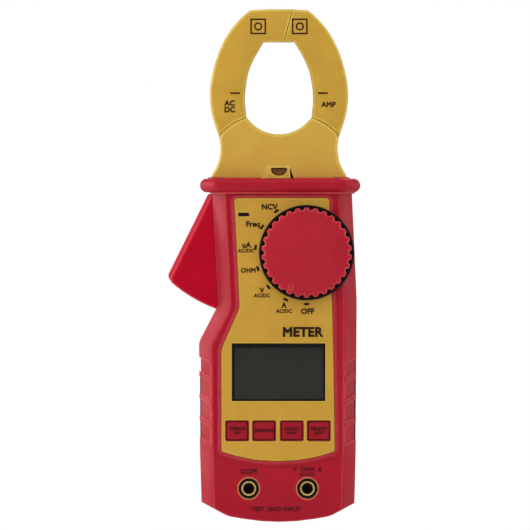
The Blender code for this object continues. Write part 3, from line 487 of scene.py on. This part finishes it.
words("jaw_label_ac", "AC", -21.2, 180.4, 2.0, JAW_FACE, "left_jaw", JAW_INK)
words("jaw_label_dc", "DC", -21.2, 177.6, 2.0, JAW_FACE, "left_jaw", JAW_INK)
words("jaw_label_amp", "AMP", 21.3, 179.8, 1.9, JAW_FACE, "right_jaw", JAW_INK)
for side, body in ((-1, "left_jaw"), (1, "right_jaw")):
    x, height = side * ALIGN_MARK_AT[0], ALIGN_MARK_AT[1]
    flat(f"{body}_align_mark", [box(x, height, *ALIGN_MARK_SIZE)], JAW_FACE, JAW_INK, body, "black_plastic")
    x, height = side * TIP_MARK_AT[0], TIP_MARK_AT[1]
    square = [box(x, height, side_length, side_length) for side_length in TIP_SQUARES]
    flat(f"{body}_square_mark", square, JAW_FACE, JAW_INK, body, "black_plastic")
    circle = [ring(x, height, radius) for radius in TIP_CIRCLES]
    flat(f"{body}_circle_mark", circle, JAW_FACE, JAW_INK, body, "black_plastic")

BUTTON_WORDS = {"torch": ("TORCH", "OFF"), "minmax": ("MINMAX",), "hold": ("HOLD", "LIGHT"),
                "select": ("SELECT", "ZERO")}
BUTTON_CAPS = (1.25, 0.95)
FIRST_LINE_LIFT = 0.8  # above a button's middle, where it has two lines
LINE_DROP = 1.75
for name, lines in BUTTON_WORDS.items():
    x, height, front = face_of(f"button_{name}")
    for number, (text, cap_mm) in enumerate(zip(lines, BUTTON_CAPS)):
        lift = FIRST_LINE_LIFT - LINE_DROP * number if len(lines) == 2 else 0
        words(f"button_{name}_label_{number}", text, x, height + lift, cap_mm, front,
              f"button_{name}", BUTTON_INK, "red_plastic")

SEAM_SHADE_EDGES = (0.25, 1.9)  # how far inside the shells' edge a strip of painted seam shade starts and ends
SEAM_SHADE_HALF = 0.148  # half its thickness, which all but fills the seam


def seam_shade_strip(name, edge, centre, body):
    """A thin dark strip in the seam between two shells, along their (x, height) edge: painted shade, in the
    keypad rubber's colour.
    """
    strip = []
    for inset, line in zip(SEAM_SHADE_EDGES, (edge, edge[::-1])):
        for point in line:
            place = Vector(point)
            strip.append(tuple(place + (Vector(centre) - place).normalized() * inset))
    flat(name, [strip], SEAM_DEPTH, RUBBER_AND_SEAM_SHADE, body, "keypad_rubber", thick=SEAM_SHADE_HALF)


# The sides run straight past the grip pockets, so the strip stands a little out of the case there.
right_side = [(31.38, 141.6), (32.0, 128), (33.33, 96), (33.36, 64), (33.0, 32), (32.35, 8.6)]
half_foot = [(24, 4.0), (22, 3.1), (15.3, 1.8), (8, 0.85)]
foot = half_foot + [(0, 0.5)] + [(-x, height) for x, height in reversed(half_foot)]
left_side = [(-32.4, 8.6), (-33.95, 32), (-34.2, 64)]
seam_shade_strip("case_seam_shade", right_side + foot + left_side, (0, 70), "case")
jaw_edge = [(27.1, 198.6), (28.8, 192.8), (29.5, 187), (29.6, 181), (28.9, 176.5), (27.4, 171)]
seam_shade_strip("right_jaw_seam_shade", jaw_edge, (0, 186), "right_jaw")
seam_shade_strip("left_jaw_seam_shade", [(-x, height) for x, height in jaw_edge], (0, 186), "left_jaw")

# A dark sheet in the notch beside the torch block: painted shadow, in the maroon print colour.
shadow_wedge = [(4.95, 148.2), (6.3, 148.2), (4.95, 152.1), (4.65, 152.1)]
flat("torch_wedge_shadow", [shadow_wedge], NOTCH_FACE, MAROON_PRINT_AND_SHADOW, "case", "red_plastic")

RIM_RADIUS, RIM_THICKNESS, RIM_LIFT = 4.62, 0.2, 0.05
MOUTH_RADII = (3.1, 2.65)  # outer and inner
MOUTH_HALF = 1.65  # half the length of a gold mouth
for name in ("com", "volt"):
    x, height, _ = face_of(f"jack_{name}_collar")
    hoop = torus(spot(x, height, CASE_FACE + RIM_LIFT), RIM_RADIUS, RIM_THICKNESS)
    piece(hoop, f"jack_{name}_rim", ORANGE, "case")
    mouth = [ring(x, height, radius) for radius in MOUTH_RADII]
    flat(f"jack_{name}_mouth", mouth, JACK_MOUTH, SOCKET, "case", "brass", thick=MOUTH_HALF)


# ---- Studio ----

AMBIENT = 0.14  # how much light the white backdrop gives
FLOOR_REACH = 0.78  # the rest of these are in metres
FLOOR_GAP = 0.0003
VIEW_WIDTH = 0.2279
VIEW_AT = (-0.00602, -1.2, 0.0109)


def white_studio():
    """A backdrop that the camera sees as white, but that lights the meter only faintly."""
    world = bpy.context.scene.world or bpy.data.worlds.new("studio")
    bpy.context.scene.world = world
    world.use_nodes = True
    nodes, links = world.node_tree.nodes, world.node_tree.links
    nodes.clear()
    end = nodes.new("ShaderNodeOutputWorld")
    seen, lit = nodes.new("ShaderNodeBackground"), nodes.new("ShaderNodeBackground")
    seen.inputs["Color"].default_value = (1, 1, 1, 1)
    lit.inputs["Color"].default_value = (1, 1, 1, 1)
    lit.inputs["Strength"].default_value = AMBIENT
    both, ray = nodes.new("ShaderNodeMixShader"), nodes.new("ShaderNodeLightPath")
    links.new(ray.outputs["Is Camera Ray"], both.inputs[0])
    links.new(lit.outputs[0], both.inputs[1])
    links.new(seen.outputs[0], both.inputs[2])
    links.new(both.outputs[0], end.inputs[0])


def softbox(name, place, size, watts, glossy=True):
    """A rectangular lamp facing the meter. If it isn't glossy, it leaves no reflection of itself."""
    light = bpy.data.lights.new(name, "AREA")
    light.shape, light.size, light.size_y = "RECTANGLE", size[0], size[1]
    light.energy = watts
    lamp = bpy.data.objects.new(name, light)
    lamp.location = place
    lamp.rotation_euler = (-Vector(place)).to_track_quat("-Z", "Y").to_euler()
    lamp.visible_glossy = lamp.visible_transmission = glossy
    bpy.context.scene.collection.objects.link(lamp)


white_studio()
softbox("front_softbox", (-0.1, -1.15, 0.45), (1.6, 1.2), 12, glossy=False)
softbox("low_softbox", (0.1, -1.0, -0.5), (1.4, 0.8), 5.5, glossy=False)
softbox("left_softbox", (-0.9, 0.15, 0.12), (0.6, 1.2), 12)
softbox("right_softbox", (0.9, 0.15, 0.12), (0.6, 1.2), 5)
softbox("top_softbox", (0.0, -0.2, 0.9), (1.0, 0.5), 3.5)
softbox("rear_softbox", (0.2, 1.0, 0.4), (1.0, 0.8), 5)

level = CAD_BOX[0].z - FLOOR_GAP
floor_mesh = bpy.data.meshes.new("studio_floor")
corners = [(FLOOR_REACH * x, FLOOR_REACH * y, level) for x, y in ((-1, -1), (1, -1), (1, 1), (-1, 1))]
floor_mesh.from_pydata(corners, [], [(0, 1, 2, 3)])
floor = bpy.data.objects.new("studio_floor", floor_mesh)
bpy.context.scene.collection.objects.link(floor)
paper = Shader("pale_floor", Roughness=0.9, Specular_IOR_Level=0.1)
fleck = paper.mix(paper.spread(paper.noise(3), 0, 1), (0.86, 0.86, 0.86, 1), (0.9, 0.9, 0.9, 1))
floor.data.materials.append(paper.finish(Base_Color=fleck))

camera = bpy.data.objects.new("camera", bpy.data.cameras.new("camera"))
camera.data.type = "ORTHO"
camera.data.ortho_scale = VIEW_WIDTH
camera.location = VIEW_AT
camera.rotation_euler = (math.radians(90), 0, 0)
bpy.context.scene.collection.objects.link(camera)
bpy.context.scene.camera = camera
bpy.context.scene.view_settings.view_transform = "Standard"
